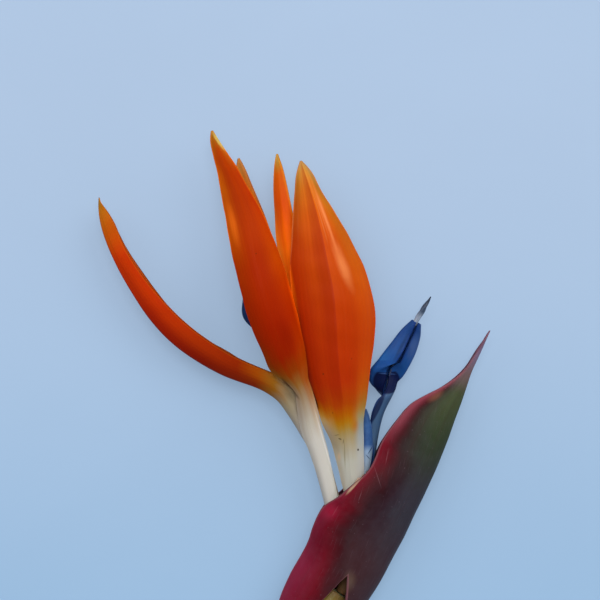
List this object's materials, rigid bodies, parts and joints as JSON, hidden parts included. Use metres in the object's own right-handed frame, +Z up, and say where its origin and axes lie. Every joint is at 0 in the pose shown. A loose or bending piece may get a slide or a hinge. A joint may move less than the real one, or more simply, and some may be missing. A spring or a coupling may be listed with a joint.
{
  "type": "bird of paradise flower",
  "caption": "Cut bird of paradise flower lying down: boat-shaped spathe on a curved stem, orange sepals, blue arrow petals.",
  "frame": {"origin": "middle of the bounding box, on the surface that the flower lies on", "axes": "+Y from the cut end of the stem towards the tips of the sepals, +Z up from the surface, +X towards the tip of the spathe"},
  "size_m": [0.1416, 0.263, 0.0272],
  "materials": {
    "sepal": "smooth waxy orange, yellow to white at the claw",
    "petal": "satin deep blue, paler at the foot",
    "spathe": "waxy crimson to green and brown with fine pale flecks",
    "stem": "smooth olive green, fibrous pale cut",
    "bracteole": "dry papery tan",
    "style": "pale grey, dark at the tip",
    "stamens": "matte cream",
    "ovary": "satin pale green"
  },
  "bodies": {
    "root": {"stem": "stem", "spathe": "spathe", "bracteole": "bracteole", "ovary_1": "ovary", "ovary_2": "ovary", "sepal_1_near": "sepal", "sepal_1_left": "sepal", "sepal_1_far": "sepal", "sepal_2_near": "sepal", "sepal_2_left": "sepal", "sepal_2_far": "sepal", "arrow_petal_1": "petal", "arrow_petal_2": "petal", "nectary_petal_1": "petal", "nectary_petal_2": "petal", "style_1": "style", "style_2": "style", "stamens_1": "stamens", "stamens_2": "stamens"}
  },
  "joints": []
}
